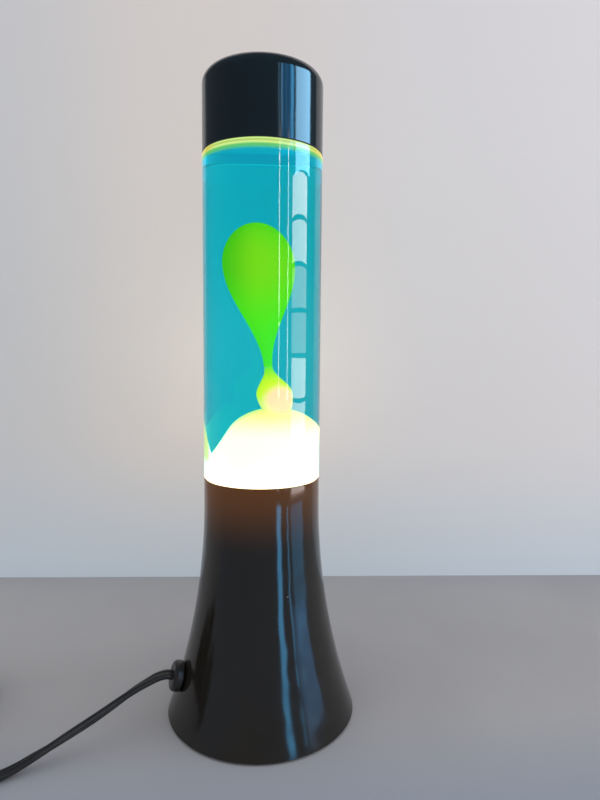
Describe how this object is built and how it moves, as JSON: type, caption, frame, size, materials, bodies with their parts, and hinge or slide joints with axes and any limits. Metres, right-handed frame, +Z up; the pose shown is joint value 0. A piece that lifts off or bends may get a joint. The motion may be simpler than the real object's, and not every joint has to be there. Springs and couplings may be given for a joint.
{
  "type": "liquid motion lamp",
  "caption": "Small table lamp: a glass bottle of blue-green liquid and rising wax stands over a bulb in a flared black base, under a black slip-on cap, with a switched flat lead.",
  "frame": {"origin": "on the table, under the middle of the base", "axes": "+Z up along the lamp's axis, -Y towards the viewer, the lead leaves the base towards -X"},
  "size_m": [0.2591, 0.1076, 0.3],
  "materials": {
    "black_gloss_paint": "glossy black paint",
    "black_matt_paint": "matt black paint",
    "clear_glass": "clear smooth glass",
    "bulb_glass": "frosted glass",
    "blue_green_liquid": "clear coloured liquid, of the density of a plastic",
    "warm_wax": "soft lit wax, of the density of a plastic",
    "green_lit_wax": "soft lit wax, of the density of a plastic",
    "zinc_steel": "zinc-plated steel",
    "tinned_steel": "lacquered tinplate",
    "brass": "plain brass",
    "solder": "solder",
    "white_rubber": "silicone rubber",
    "black_rubber": "soft black rubber",
    "cream_holder": "glazed moulding",
    "black_gloss_plastic": "glossy black plastic",
    "black_lead_plastic": "satin black soft plastic",
    "brown_core": "core insulation",
    "blue_core": "core insulation"
  },
  "bodies": {
    "base": {"base_shell": "black_gloss_paint", "support_ring": "zinc_steel", "seat_pads": "white_rubber", "shell_lugs": "zinc_steel", "base_plate": "black_matt_paint", "plate_screws": "zinc_steel", "rubber_feet": "black_rubber", "holder_bracket": "zinc_steel", "bracket_screws": "zinc_steel", "holder_nipple": "brass", "nipple_nut": "brass", "holder_body": "cream_holder", "screw_shell": "brass", "centre_contact": "brass", "terminal_screws": "brass", "strain_relief": "black_lead_plastic", "cord_tail": "black_lead_plastic", "live_lead": "brown_core", "neutral_lead": "blue_core", "cord_to_switch": "black_lead_plastic", "switch_bottom": "black_gloss_plastic", "switch_top": "black_gloss_plastic", "rocker_pin": "zinc_steel", "switch_contacts": "brass", "switch_screws": "zinc_steel", "cord_to_coil": "black_lead_plastic", "cord_coil": "black_lead_plastic", "coil_tie": "black_lead_plastic", "cord_to_plug": "black_lead_plastic", "plug_body": "black_lead_plastic", "plug_blades": "brass"},
    "bottle": {"bottle": "clear_glass", "bottle_closure": "tinned_steel", "closure_liner": "white_rubber", "liquid": "blue_green_liquid", "wax_pool": "warm_wax", "heating_coil": "zinc_steel"},
    "cap": {"cap": "black_gloss_paint"},
    "wax_blob": {"wax_blob": "green_lit_wax"},
    "bulb_tip": {"bulb_tip": "solder"},
    "bulb": {"bulb_envelope": "bulb_glass", "bulb_screw_cap": "brass", "bulb_insulator": "black_gloss_plastic", "bulb_filament": "bulb_glass"},
    "rocker": {"switch_rocker": "black_gloss_plastic"}
  },
  "joints": [
    {"name": "bottle_lift", "type": "slide", "parent": "base", "child": "bottle", "axis": [0, 0, 1], "range_m": [0, 0.06]},
    {"name": "cap_lift", "type": "slide", "parent": "bottle", "child": "cap", "axis": [0, 0, 1], "range_m": [0, 0.05]},
    {"name": "blob_rise", "type": "slide", "parent": "bottle", "child": "wax_blob", "axis": [0, 0, 1], "range_m": [0, 0.025], "deforming": ["liquid"]},
    {"name": "bulb_rise", "type": "slide", "parent": "base", "child": "bulb_tip", "axis": [0, 0, 1], "range_m": [0, 0.006]},
    {"name": "bulb_turn", "type": "hinge", "parent": "bulb_tip", "child": "bulb", "pos_m": [0, 0, 0.05], "axis": [0, 0, 1], "range_deg": [0, 767]},
    {"name": "rocker_tip", "type": "hinge", "parent": "base", "child": "rocker", "pos_m": [-0.152, -0.052, 0.0107], "axis": [0, 1, 0], "range_deg": [-18, 0]}
  ],
  "couplings": [
    {"joint": "bulb_turn", "follows": "bulb_rise", "rad_per_m": 2228.1}
  ]
}
